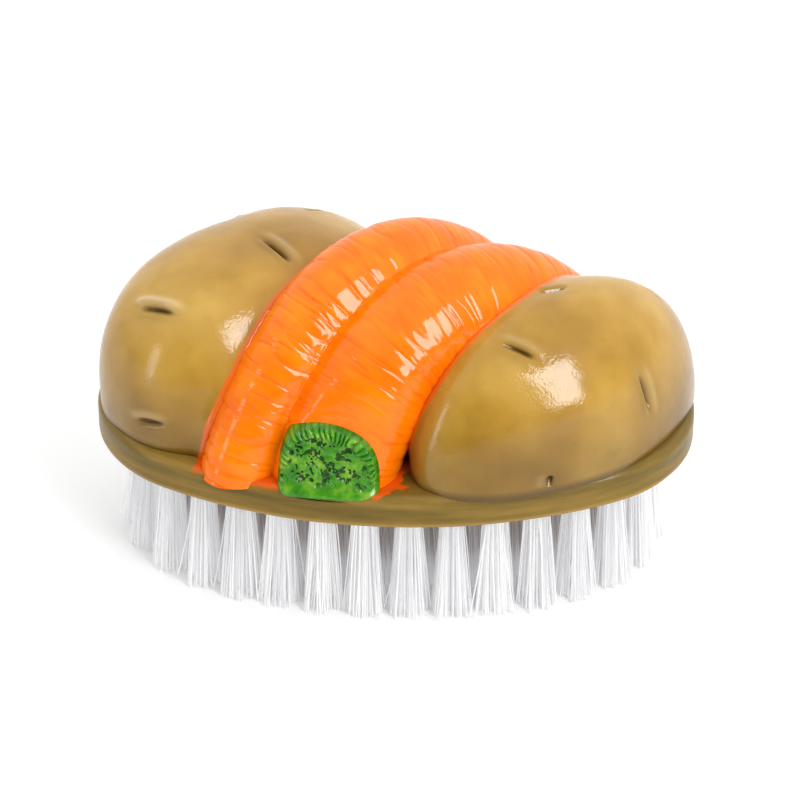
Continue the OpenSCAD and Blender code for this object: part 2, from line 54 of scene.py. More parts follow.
camera = bpy.data.objects.new("camera", bpy.data.cameras.new("camera"))
scene.collection.objects.link(camera)
back = Vector((
    math.sin(CAMERA_AZIMUTH) * math.cos(CAMERA_ELEVATION),
    -math.cos(CAMERA_AZIMUTH) * math.cos(CAMERA_ELEVATION),
    math.sin(CAMERA_ELEVATION),
))
camera.location = AIM + back * CAMERA_DISTANCE
camera.rotation_mode = "QUATERNION"
camera.rotation_quaternion = (-back).to_track_quat("-Z", "Y")
camera.data.lens = LENS
camera.data.sensor_width = SENSOR
camera.data.shift_x = SHIFT_RIGHT_PIXELS / PICTURE_PIXELS
camera.data.shift_y = SHIFT_UP_PIXELS / PICTURE_PIXELS
camera.data.clip_start = 0.01
scene.camera = camera


# Studio light
# A tall softbox stands at the front right, with a lamp before it that only shows in
# reflections, and a narrow softbox at the left. The room's own light is white, brightest
# overhead and behind, and dim on the camera's side.
def softbox(name, toward, distance, size, power, shading=True):
    """A rectangular lamp in the direction toward, facing the brush. Without shading it only
    shows in reflections."""
    lamp = bpy.data.objects.new(name, bpy.data.lights.new(name, "AREA"))
    scene.collection.objects.link(lamp)
    away = Vector(toward).normalized()
    lamp.location = AIM + away * distance
    lamp.rotation_mode = "QUATERNION"
    lamp.rotation_quaternion = away.to_track_quat("Z", "Y")
    lamp.data.shape = "RECTANGLE"
    lamp.data.size, lamp.data.size_y = size
    lamp.data.energy = power
    lamp.visible_diffuse = shading
    return lamp


def add(tree, kind, inputs=None, **settings):
    """A shader node with its settings and inputs, each input a value or another node's output."""
    node = tree.nodes.new("ShaderNode" + kind)
    for name, value in settings.items():
        setattr(node, name, value)
    for name, value in (inputs or {}).items():
        if isinstance(value, bpy.types.NodeSocket):
            tree.links.new(value, node.inputs[name])
        else:
            node.inputs[name].default_value = value
    return node


FRONT_RIGHT = (0.59, -0.61, 0.53)
softbox("front_softbox", FRONT_RIGHT, 0.9, (0.356, 0.725), 5.2)
softbox("front_sparkle", FRONT_RIGHT, 0.88, (0.348, 0.71), 8, shading=False)
softbox("left_softbox", (-0.86, -0.42, 0.1), 0.9, (0.18, 0.58), 1.6)

world = bpy.data.worlds.new("studio")
world.use_nodes = True
tree = world.node_tree
toward = add(tree, "TexCoord").outputs["Generated"]
height = add(tree, "VectorMath", {0: toward, 1: (0.0, 0.6, 0.8)}, operation="DOT_PRODUCT")
glow = add(tree, "MapRange", {
    "Value": height.outputs["Value"], "From Min": -0.35, "From Max": 0.8, "To Min": 0.14, "To Max": 1.35,
}, interpolation_type="SMOOTHSTEP")
tree.links.new(glow.outputs["Result"], tree.nodes["Background"].inputs["Strength"])
tree.nodes["Background"].inputs["Color"].default_value = (1, 1, 1, 1)
scene.world = world
scene.view_settings.view_transform = "Standard"


# Floor
# A plain white table top, smooth and matt, that the bristle tips stand on.
def colour(red, green, blue):
    """A screen colour of 0 to 255 a channel as linear red, green, blue, alpha."""
    linear = [((c / 255 + 0.055) / 1.055) ** 2.4 for c in (red, green, blue)]
    return (*linear, 1)


def new_material(name):
    """A material with an empty tree but for its Principled BSDF and its output."""
    material = bpy.data.materials.new(name)
    material.use_nodes = True
    tree = material.node_tree
    shader = tree.nodes["Principled BSDF"]
    return material, tree, shader


def ramp(tree, factor, stops):
    """A colour ramp node over factor, with stops of (position, colour)."""
    node = add(tree, "ValToRGB", {"Fac": factor})
    band = node.color_ramp
    while len(band.elements) > 1:
        band.elements.remove(band.elements[-1])
    band.elements[0].position, band.elements[0].color = stops[0]
    for position, tone in stops[1:]:
        band.elements.new(position).color = tone
    return node


def mesh_object(name, points, faces, material):
    """A smooth mesh object from points in metres and faces of three or four corners."""
    mesh = bpy.data.meshes.new(name)
    faces = np.asarray(faces, dtype=np.int32)
    corners = faces.shape[1]
    mesh.vertices.add(len(points))
    mesh.vertices.foreach_set("co", np.asarray(points, dtype=np.float32).ravel())
    mesh.loops.add(faces.size)
    mesh.loops.foreach_set("vertex_index", faces.ravel())
    mesh.polygons.add(len(faces))
    mesh.polygons.foreach_set("loop_start", np.arange(0, faces.size, corners, dtype=np.int32))
    mesh.polygons.foreach_set("use_smooth", np.ones(len(faces), dtype=bool))
    mesh.update(calc_edges=True)
    mesh.materials.append(material)
    thing = bpy.data.objects.new(name, mesh)
    scene.collection.objects.link(thing)
    return thing


white_table, tree, shader = new_material("white_table")
place = add(tree, "TexCoord").outputs["Object"]
cloud = add(tree, "TexNoise", {"Vector": place, "Scale": 3.0, "Detail": 2.0})
tint = ramp(tree, cloud.outputs["Fac"], [(0.3, (0.93, 0.93, 0.93, 1)), (0.7, (0.96, 0.96, 0.96, 1))])
tree.links.new(tint.outputs["Color"], shader.inputs["Base Color"])
shader.inputs["Roughness"].default_value = 0.6
shader.inputs["Specular IOR Level"].default_value = 0.2
FLOOR_REACH = 4.0
corners = [(-FLOOR_REACH, -FLOOR_REACH, 0), (FLOOR_REACH, -FLOOR_REACH, 0),
           (FLOOR_REACH, FLOOR_REACH, 0), (-FLOOR_REACH, FLOOR_REACH, 0)]
floor = mesh_object("floor", corners, [(0, 1, 2, 3)], white_table)


# Base plate
# The oval plate of the handle, olive painted resin with rounded edges. Its underside has the
# pocket that holds the bristle block.
PLATE_TOP = 32.0
PLATE_SINK = 0.6
RIM_X, RIM_Y, END_RADIUS = 60.0, 37.5, 30.0
END_MIDDLE = RIM_X - END_RADIUS
SIDE_RADIUS = (END_MIDDLE**2 + RIM_Y**2 - END_RADIUS**2) / (2 * (RIM_Y - END_RADIUS))
SIDE_MIDDLE = SIDE_RADIUS - RIM_Y
SEAM = math.atan2(SIDE_MIDDLE, END_MIDDLE)
PLATE_BOTTOM, POCKET_CEILING, POCKET_WALL = 25.0, 30.0, 4.0


def smooth_noise(points, cell, seed):
    """Value noise from -1 to 1 at points, which change over about cell."""
    table = np.random.default_rng(seed).uniform(-1, 1, (32, 32, 32))
    grid = np.asarray(points) / cell + 64.0
    base = np.floor(grid).astype(int)
    part = grid - base
    part = part * part * (3 - 2 * part)
    total = np.zeros(grid.shape[:-1])
    for corner in np.ndindex(2, 2, 2):
        index = (base + corner) % 32
        weight = np.prod(np.where(corner, part, 1 - part), axis=-1)
        total += weight * table[index[..., 0], index[..., 1], index[..., 2]]
    return total


def bump(distance):
    """A rounded hill, 1 at distance 0 and gone beyond about 2."""
    return np.exp(-distance * distance)


def tube_faces(rows, columns):
    """Four-cornered faces of an open tube of rows by columns points."""
    row, column = np.meshgrid(np.arange(rows - 1), np.arange(columns), indexing="ij")
    a = row * columns + column
    b = row * columns + (column + 1) % columns
    return np.stack([a, b, b + columns, a + columns], -1).reshape(-1, 4)


def keep_attribute(thing, name, values):
    """Stores one number a point on the mesh, for its material."""
    layer = thing.data.attributes.new(name, "FLOAT", "POINT")
    layer.data.foreach_set("value", np.asarray(values, dtype=np.float32).ravel())


def attribute(tree, name):
    return add(tree, "Attribute", attribute_name=name).outputs["Fac"]


def mix(tree, factor, first, second, blend="MIX"):
    """The colour output of a mix node from first to second."""
    node = add(tree, "Mix", data_type="RGBA", blend_type=blend)
    for socket, value in ((0, factor), (6, first), (7, second)):
        if isinstance(value, bpy.types.NodeSocket):
            tree.links.new(value, node.inputs[socket])
        else:
            node.inputs[socket].default_value = value
    return node.outputs[2]


def new_group(name, inputs, output):
    """A shader node group with one output. Gives its tree, its inputs and where its result
    goes in. Place and Normal are vectors, and the rest are numbers."""
    group = bpy.data.node_groups.new(name, "ShaderNodeTree")
    labels = [(label, "INPUT") for label in inputs] + [(output, "OUTPUT")]
    for label, direction in labels:
        kind = "NodeSocketVector" if label in ("Place", "Normal") else "NodeSocketFloat"
        group.interface.new_socket(name=label, in_out=direction, socket_type=kind)
    inlet = group.nodes.new("NodeGroupInput")
    outlet = group.nodes.new("NodeGroupOutput")
    return group, inlet.outputs, outlet.inputs[output]


def oval_edge(inset, heading):
    """Points of the four-arc oval whose outward normals have that heading."""
    c, s = np.cos(heading), np.sin(heading)
    on_end = np.abs(s) < math.sin(SEAM)
    end_x = np.sign(c) * END_MIDDLE + (END_RADIUS - inset) * c
    end_y = (END_RADIUS - inset) * s
    side_x = (SIDE_RADIUS - inset) * c
    side_y = -np.sign(s) * SIDE_MIDDLE + (SIDE_RADIUS - inset) * s
    return np.where(on_end, end_x, side_x), np.where(on_end, end_y, side_y)


def oval_headings(count):
    """Headings that space their points about evenly round the oval."""
    dense = np.linspace(0, 2 * np.pi, 20000, endpoint=False)
    x, y = oval_edge(0, dense)
    steps = np.hypot(np.diff(x, append=x[0]), np.diff(y, append=y[0]))
    run = np.concatenate([[0], np.cumsum(steps)])
    return np.interp(np.arange(count) * run[-1] / count, run[:-1], dense)


def rim_at(x):
    """Half width of the plate at x."""
    side = math.sqrt(SIDE_RADIUS**2 - x * x) - SIDE_MIDDLE
    return side if abs(x) < END_MIDDLE + END_RADIUS * math.cos(SEAM) else math.sqrt(
        END_RADIUS**2 - (abs(x) - END_MIDDLE) ** 2)


def rounded(inset, height, radius, start, end, count):
    """Profile points (inset, height) on an arc about a middle, from start to end degrees."""
    angle = np.radians(np.linspace(start, end, count))
    return [(inset - radius * math.cos(a), height + radius * math.sin(a)) for a in angle]


def plate_profile():
    """The plate's section from the pocket's ceiling, down and round the rim, to its top."""
    top_round, bottom_round = 1.6, 0.8
    profile = [(i, POCKET_CEILING) for i in np.linspace(30, POCKET_WALL + 0.3, 12)]
    profile += [(POCKET_WALL, POCKET_CEILING - 0.3), (POCKET_WALL, PLATE_BOTTOM + 0.3)]
    profile += rounded(POCKET_WALL - 0.3, PLATE_BOTTOM + 0.3, 0.3, 180, 270, 5)[1:]
    profile += rounded(bottom_round, PLATE_BOTTOM + bottom_round, bottom_round, -90, 0, 10)
    wall_top = PLATE_TOP - top_round
    profile += [(0.0, z) for z in np.linspace(PLATE_BOTTOM + bottom_round, wall_top, 22)[1:-1]]
    profile += rounded(top_round, wall_top, top_round, 0, 90, 12)
    profile += [(i, PLATE_TOP) for i in np.linspace(top_round + 0.5, 30, 60)]
    return np.array(profile)


profile = plate_profile()
headings = oval_headings(900)
inset, heading = np.meshgrid(profile[:, 0], headings, indexing="ij")
x, y = oval_edge(inset, heading)
z = np.repeat(profile[:, 1:], len(headings), 1)
points = np.stack([x, y, z], -1)
EDGE_BAND = 1.7
ripple = smooth_noise(points * (0.2, 0.2, 1), 1.4, 51) * 0.05 + smooth_noise(points, 9.0, 52) * 0.12
inward = np.stack([np.cos(heading), np.sin(heading), 0 * z], -1)
points = points - inward * np.where(inset < EDGE_BAND, np.abs(ripple), 0)[..., None]
points = np.concatenate([points[:1] * (1, 0, 1), points, points[-1:] * (1, 0, 1)])

# Gloss that drifts between two values of roughness with a pattern, as on brushed lacquer.
uneven_gloss, given, result = new_group("uneven_gloss", ["Pattern", "Least", "Most"], "Roughness")
spread = add(uneven_gloss, "MapRange", {
    "Value": given["Pattern"], "From Min": 0.3, "From Max": 0.7,
    "To Min": given["Least"], "To Max": given["Most"],
})
uneven_gloss.links.new(spread.outputs["Result"], result)

# Carrot paint that has run on from the carrots, to a ragged line some way past them.
paint_run, given, result = new_group("paint_run", [
    "Place", "Gap", "Scale", "Noise Low", "Noise High", "Reach Low", "Reach High",
    "Edge Low", "Edge High", "Strength",
], "Mask")
ragged = add(paint_run, "TexNoise", {"Vector": given["Place"], "Scale": given["Scale"], "Detail": 3.0})
reach = add(paint_run, "MapRange", {
    "Value": ragged.outputs["Fac"], "From Min": given["Noise Low"], "From Max": given["Noise High"],
    "To Min": given["Reach Low"], "To Max": given["Reach High"],
})
past = add(paint_run, "Math", {0: reach.outputs["Result"], 1: given["Gap"]}, operation="SUBTRACT")
covered = add(paint_run, "MapRange", {
    "Value": past.outputs[0], "From Min": given["Edge Low"], "From Max": given["Edge High"],
    "To Max": given["Strength"],
})
paint_run.links.new(covered.outputs["Result"], result)

olive_resin, tree, shader = new_material("olive_resin")
place = add(tree, "TexCoord").outputs["Object"]
stretch = add(tree, "Mapping", {"Vector": place, "Scale": (40.0, 40.0, 420.0)})
streak = add(tree, "TexNoise", {
    "Vector": stretch.outputs["Vector"], "Scale": 1.0, "Detail": 4.0, "Roughness": 0.6,
})
tone = ramp(tree, streak.outputs["Fac"], [
    (0.3, colour(98, 80, 28)), (0.5, colour(120, 96, 36)), (0.7, colour(140, 111, 46)),
])
spill = add(tree, "Group", {
    "Place": place, "Gap": attribute(tree, "carrot_gap"), "Scale": 130.0,
    "Noise Low": 0.35, "Noise High": 0.65, "Reach Low": 0.6, "Reach High": 3.4,
    "Edge Low": -0.2, "Edge High": 0.2, "Strength": 1.0,
}, node_tree=paint_run)
flat_top = add(tree, "Math", {
    0: attribute(tree, "upward"), 1: spill.outputs["Mask"],
}, operation="MULTIPLY")
# The rim's bottom edge is lighter: a painted highlight along its rounded corner.
edge = add(tree, "Math", {0: attribute(tree, "painted_highlight"), 1: 0.55}, operation="MULTIPLY")
painted_highlight = mix(tree, edge.outputs[0], tone.outputs["Color"], colour(182, 146, 76))
painted = mix(tree, flat_top.outputs[0], painted_highlight, colour(218, 88, 10))
tree.links.new(painted, shader.inputs["Base Color"])
gloss = add(tree, "Group", {
    "Pattern": streak.outputs["Fac"], "Least": 0.36, "Most": 0.5,
}, node_tree=uneven_gloss)
tree.links.new(gloss.outputs["Roughness"], shader.inputs["Roughness"])
relief = add(tree, "Bump", {"Height": streak.outputs["Fac"], "Strength": 0.25, "Distance": 0.0003})
tree.links.new(relief.outputs["Normal"], shader.inputs["Normal"])
shader.inputs["Specular IOR Level"].default_value = 0.1
shader.inputs["Coat Weight"].default_value = 0.22
shader.inputs["Coat Roughness"].default_value = 0.16

base_plate = mesh_object(
    "oval_plate", points.reshape(-1, 3) * MM, tube_faces(len(points), len(headings)), olive_resin,
)
keep_attribute(base_plate, "upward", np.clip((points[..., 2] - 31.0) / 0.8, 0, 1))
# Where the painted highlight lies, along the rim's bottom edge.
keep_attribute(base_plate, "painted_highlight", bump((points[..., 2] - PLATE_BOTTOM - 0.6) / 0.5))
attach(base_plate, "root")
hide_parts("base_plate")


# Carrots
# Two resin carrots lie side by side over the handle like an arch, cast in one with it and
# painted orange. Short crosswise creases and fine wrinkles cover them, as on a real root.
class Carrot:
    """An arched carrot: its middle, turn, reach, rise, slope and the radius at each end, in mm."""

    def __init__(self, middle, turn, reach, rise, slope, front_radius, back_radius):
        self.middle = np.array(middle)
        self.turn, self.reach, self.rise = math.radians(turn), reach, rise
        self.slope, self.front_radius, self.back_radius = slope, front_radius, back_radius
        self.side = np.array([math.cos(self.turn), -math.sin(self.turn), 0.0])

    def arch(self, t):
        """Points of the carrot's middle line, from the front end (0) to the back end (1)."""
        angle = np.pi * (1 - np.asarray(t))
        along = self.reach * np.cos(angle)
        up = self.rise * np.maximum(np.sin(angle), 0) ** self.slope
        plan = np.stack([along * math.sin(self.turn), along * math.cos(self.turn), up], -1)
        return self.middle + plan

    def radius(self, t):
        return self.front_radius + (self.back_radius - self.front_radius) * t

    def rings(self, t, around):
        """Height of the broad growth rings, in mm."""
        turn = 2 * np.pi * 21 * t
        wave = 0.5 * np.sin(turn + 0.87 * np.sin(around + 15.7 * t))
        wave += 0.3 * np.sin(0.37 * turn + around) + 0.2 * np.sin(1.7 * turn - 2 * around)
        return 0.35 * (wave - 1)

    def distance(self, points):
        """Distance from points to the carrot's plain skin, below 0 inside."""
        t = np.linspace(0, 1, 72)
        gap = np.full(points.shape[:-1], 1e9)
        for middle, radius in zip(self.arch(t), self.radius(t)):
            gap = np.minimum(gap, np.linalg.norm(points - middle, axis=-1) - radius)
        return gap


left_carrot_form = Carrot((-3.5, -2.2, 28.5), 46, 35.7, 32.4, 1.6, 7.5, 12.2)
right_carrot_form = Carrot((12.9, -7.3, 28.5), 51, 30.2, 28.2, 1.26, 13.0, 11.2)


ARCH_SINK = 1.4
FOLD_SPACING = 3.5
CROWN_RADIUS, CROWN_HEIGHT = 9.8, 4.5
CROWN_LEAN, CROWN_TURN = math.radians(12), math.radians(-5)


def crown_outline(angle):
    """Radius of a crown at an angle round its axis. Its top is flat and its foot is wide."""
    flat_top = -0.13 * bump((angle - 1.35) / 0.75) + 0.04 * bump((angle - 2.45) / 0.35)
    return CROWN_RADIUS * (1 + flat_top + 0.13 * bump((np.sin(angle) + 0.55) / 0.3))


class CrownPlace:
    """Where a carrot's crown sits: its cut face at the rim, facing front (-1) or back (1)."""

    def __init__(self, form, facing):
        x = form.middle[0] + facing * (form.reach * math.sin(form.turn) + 0.5)
        self.middle = np.array([x, facing * (rim_at(x) - 0.4), PLATE_TOP])
        self.out = facing * np.array([-math.sin(CROWN_TURN), math.cos(CROWN_TURN), 0.0])
        self.across = np.array([math.cos(CROWN_TURN), math.sin(CROWN_TURN), 0.0])

    def measure(self, points):
        """How far points stand across, above the crown's axis, and out from its leaning face."""
        offset = points - self.middle
        forward = offset @ self.out + offset[..., 2] * math.tan(CROWN_LEAN)
        return offset @ self.across, offset[..., 2] - CROWN_HEIGHT, forward

    def point(self, across, above, forward):
        """The point that has those three measures."""
        high = CROWN_HEIGHT + above
        out = forward - high * math.tan(CROWN_LEAN)
        return (self.middle + across[..., None] * self.across + out[..., None] * self.out
                + high[..., None] * np.array([0.0, 0.0, 1.0]))


def soft_minimum(value, most, bend):
    """value held under most, with the corner between them rounded by about bend."""
    room = most - value
    return most - 0.5 * (room + np.sqrt(room * room + bend * bend))


def fillet(gap, height, width):
    """How far a surface swells beside a neighbour that stands gap away, as cast resin does."""
    return height * np.exp(-np.maximum(gap, 0) / width)


def carrot_piece(name, form, facing, seed, material):
    """A carrot's tube with its rings, creases and wrinkles in the mesh, cut for its crown."""
    rows, columns, creases = 1000, 260, 240
    t = np.linspace(0.0, 1.0, rows)
    middle = form.arch(t)
    run = np.gradient(middle, axis=0)
    length = np.concatenate([[0], np.cumsum(np.linalg.norm(np.diff(middle, axis=0), axis=1))])
    run /= np.linalg.norm(run, axis=1, keepdims=True)
    outward = np.cross(form.side, run)
    outward /= np.linalg.norm(outward, axis=1, keepdims=True)
    around = np.linspace(-np.pi, np.pi, columns, endpoint=False)
    along, angle = np.meshgrid(length, around, indexing="ij")
    radius = form.radius(t)[:, None] + 0.2 * form.rings(t[:, None], angle)
    skin = np.stack([along, radius * np.cos(angle), radius * np.sin(angle)], -1)
    chance = np.random.default_rng(seed)
    dent = np.zeros_like(along)
    for _ in range(creases):
        at, heading = chance.uniform(0, length[-1]), chance.uniform(-1.9, 1.9)
        span, slant = chance.uniform(0.06, 0.45), chance.uniform(-0.7, 0.7)
        deep = chance.uniform(0.02, 0.1) * (1 + (chance.uniform() > 0.85))
        wide = chance.uniform(0.14, 0.3)
        near = np.abs(length - at) < 3.5
        turned = angle[near] - heading
        offset = along[near] - at - slant * turned - 0.3 * np.sin(3 * turned + at)
        dent[near] += deep * bump(offset / wide) * bump((turned / span) ** 2)
    wrinkle = 0.5 * smooth_noise(skin * (1, 0.16, 0.16), 0.45, seed + 1)
    wrinkle += smooth_noise(skin * (1, 0.2, 0.2), 1.0, seed + 2)
    soft = smooth_noise(skin, 9.0, seed + 3)
    drift = along + 1.3 * smooth_noise(skin * (0.5, 0.25, 0.25), 2.2, seed + 4)
    drift += 0.4 * np.sin(angle + along / 6)
    fold = (1 - np.abs(np.sin(np.pi * drift / FOLD_SPACING))) ** 3
    fold *= 0.35 + 0.65 * np.clip(0.5 + smooth_noise(skin * (0.6, 0.4, 0.4), 2.6, seed + 5), 0, 1)
    radius = radius - 1.1 * dent + 0.018 * wrinkle + 0.25 * soft - 0.32 - 0.22 * fold
    dent = dent + 0.05 * fold
    points = middle[:, None] + radius[..., None] * (
        np.cos(angle)[..., None] * outward[:, None] + np.sin(angle)[..., None] * form.side
    )
    neighbour = right_carrot_form if form is left_carrot_form else left_carrot_form
    swell = fillet(neighbour.distance(points), 0.3, 0.35)
    points += swell[..., None] * (points - middle[:, None]) / radius[..., None]
    crown = CrownPlace(form, facing)
    across, above, forward = crown.measure(points)
    bed = np.hypot(across, above) < crown_outline(np.arctan2(above, across)) - 0.5
    held = soft_minimum(forward, -1.4, 1.6) - np.where(bed, 2.0, 0)
    points += (np.minimum(held - forward, 0) * (forward > -14))[..., None] * crown.out
    points[..., 2] = np.maximum(points[..., 2], PLATE_TOP - ARCH_SINK)
    carrot = mesh_object(name + "_body", points.reshape(-1, 3) * MM, tube_faces(rows, columns), material)
    # How deep each crease and fold is, for the painted shade in it.
    keep_attribute(carrot, "crease", np.clip(dent / 0.14, 0, 1))
    keep_attribute(carrot, "stroke", np.clip(0.5 + 0.3 * wrinkle, 0, 1))
    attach(carrot, "root")
    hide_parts(name)


# The fine orange-peel grain that lacquer dries to.
fine_grain, given, result = new_group("fine_grain", [
    "Place", "Scale", "Detail", "Strength", "Distance",
], "Normal")
peel = add(fine_grain, "TexNoise", {
    "Vector": given["Place"], "Scale": given["Scale"], "Detail": given["Detail"],
})
raised = add(fine_grain, "Bump", {
    "Height": peel.outputs["Fac"], "Strength": given["Strength"], "Distance": given["Distance"],
})
fine_grain.links.new(raised.outputs["Normal"], result)

carrot_paint, tree, shader = new_material("carrot_paint")
place = add(tree, "TexCoord").outputs["Object"]
blotch = add(tree, "TexNoise", {"Vector": place, "Scale": 95.0, "Detail": 3.0, "Roughness": 0.6})
tone = ramp(tree, blotch.outputs["Fac"], [
    (0.32, colour(240, 112, 0)), (0.5, colour(248, 129, 0)), (0.68, colour(252, 146, 4)),
])
stroked = mix(tree, attribute(tree, "stroke"), colour(246, 108, 0), tone.outputs["Color"])
# Darker red in the creases and folds: painted shade in the grooves.
faint = add(tree, "Math", {0: attribute(tree, "crease"), 1: 0.36}, operation="MULTIPLY")
creased = mix(tree, faint.outputs[0], stroked, colour(222, 84, 2))
tree.links.new(creased, shader.inputs["Base Color"])
gloss = add(tree, "Group", {
    "Pattern": blotch.outputs["Fac"], "Least": 0.26, "Most": 0.36,
}, node_tree=uneven_gloss)
tree.links.new(gloss.outputs["Roughness"], shader.inputs["Roughness"])
relief = add(tree, "Group", {
    "Place": place, "Scale": 1400.0, "Detail": 2.0, "Strength": 0.12, "Distance": 0.0002,
}, node_tree=fine_grain)
tree.links.new(relief.outputs["Normal"], shader.inputs["Normal"])
shader.inputs["Specular IOR Level"].default_value = 0.02
shader.inputs["Coat Weight"].default_value = 0.5
shader.inputs["Coat Roughness"].default_value = 0.08

carrot_piece("left_carrot", left_carrot_form, 1, 11, carrot_paint)
carrot_piece("right_carrot", right_carrot_form, -1, 23, carrot_paint)


# The carrots' paint has run onto the plate at their feet, so the plate's material needs to
# know how near each of its points is to a carrot.
plate_points = np.zeros(len(base_plate.data.vertices) * 3)
base_plate.data.vertices.foreach_get("co", plate_points)
plate_points = plate_points.reshape(-1, 3) / MM
carrot_gap = np.minimum(
    left_carrot_form.distance(plate_points), right_carrot_form.distance(plate_points),
)
across, _, forward = CrownPlace(right_carrot_form, -1).measure(plate_points)
under_crown = np.clip((CROWN_RADIUS - 0.4 - np.abs(across)) / 3, 0, 1) * (forward > -4)
keep_attribute(base_plate, "carrot_gap", carrot_gap + 6 * under_crown)


# Potatoes
# Two resin potatoes fill the ends of the handle, cast in one with the plate and painted
# ochre under clear lacquer. Slit eyes with raised brows and low swells break their skin.
class Potato:
    """A potato: its middle, half sizes, turn and the roundness of its side and plan, in mm."""

    def __init__(self, middle, half, turn, side_round, plan_round):
        self.middle, self.half = np.array(middle), np.array(half)
        self.turn = math.radians(turn)
        self.side_round, self.plan_round = side_round, plan_round
        c, s = math.cos(self.turn), math.sin(self.turn)
        self.axes = np.array([[c, s, 0], [-s, c, 0], [0, 0, 1]])

    def radius(self, direction):
        """Distance from the middle to the skin along unit directions in the potato's axes."""
        u = np.abs(direction) / self.half
        side, flat = self.side_round, self.plan_round
        plan = (u[..., 0] ** (2 / flat) + u[..., 1] ** (2 / flat)) ** (flat / side)
        plain = (plan + u[..., 2] ** (2 / side)) ** (-side / 2)
        x, y, z = np.moveaxis(np.radians(direction), -1, 0)
        lumps = 0.007 * np.sin(170 * x + 60 * y + math.radians(20))
        lumps += 0.006 * np.sin(210 * y - 120 * z + math.radians(75))
        lumps += 0.005 * np.sin(260 * z + 150 * x)
        return plain * (1 + lumps)

    def own(self, points):
        """Points in the potato's own axes, from its middle."""
        return (points - self.middle) @ self.axes.T


def slit(form, points, eye):
    """How far points stand along and across an eye's slit, which points lie near enough to it, and half
    its length.
    """
    azimuth, elevation, slant, length = [math.radians(v) for v in eye[:3]] + [eye[3]]
    ca, sa, ce, se = math.cos(azimuth), math.sin(azimuth), math.cos(elevation), math.sin(elevation)
    out = np.array([ce * ca, ce * sa, se])
    down = np.array([se * ca, se * sa, -ce])
    level = np.array([-sa, ca, 0.0])
    run = -math.sin(slant) * down + math.cos(slant) * level
    across = math.cos(slant) * down + math.sin(slant) * level
    if across[2] < 0:
        across = -across
    offset = points - out * form.radius(out[None])[0]
    near = (points / np.linalg.norm(points, axis=-1, keepdims=True)) @ out > 0.6
    return offset @ run, offset @ across, near, length / 2


def eye_relief(form, points, eyes):
    """Height of the eyes' slits and brows at points of the skin, how dark each point is, with dark paint
    and painted shade in the slits and hollows, and how much rubbed paint and a painted highlight lighten
    each brow. An eye is (azimuth, elevation, slant, length, height of its brow)."""
    height, dark, painted_highlight = np.zeros((3, *points.shape[:-1]))
    for eye in eyes:
        along, across, near, half = slit(form, points, eye)
        across = across - 0.5 + 0.05 * along * along / half
        ends = bump((along / (0.95 * half)) ** 2)
        cut = bump(across / 0.45) * ends
        brow = eye[4] * bump((across - 1.6) / 0.95) * bump((along / (1.3 * half)) ** 2)
        lip = bump((across + 1.3) / 0.8) * bump((along / (1.1 * half)) ** 2)
        hollow = bump(across / 2.6) * bump(along / (1.2 * half))
        height += near * (-0.95 * cut + 0.62 * brow + 0.25 * lip - 0.5 * hollow)
        # Dark paint, with painted shade, in the slits and their hollows.
        dark = np.maximum(dark, near * np.maximum(cut, 0.3 * hollow))
        # How much rubbed paint and a painted highlight lighten each brow.
        painted_highlight = np.maximum(painted_highlight, near * np.minimum(brow, 1))
    return height, dark, painted_highlight


CARROT_OVERLAP = 1.4


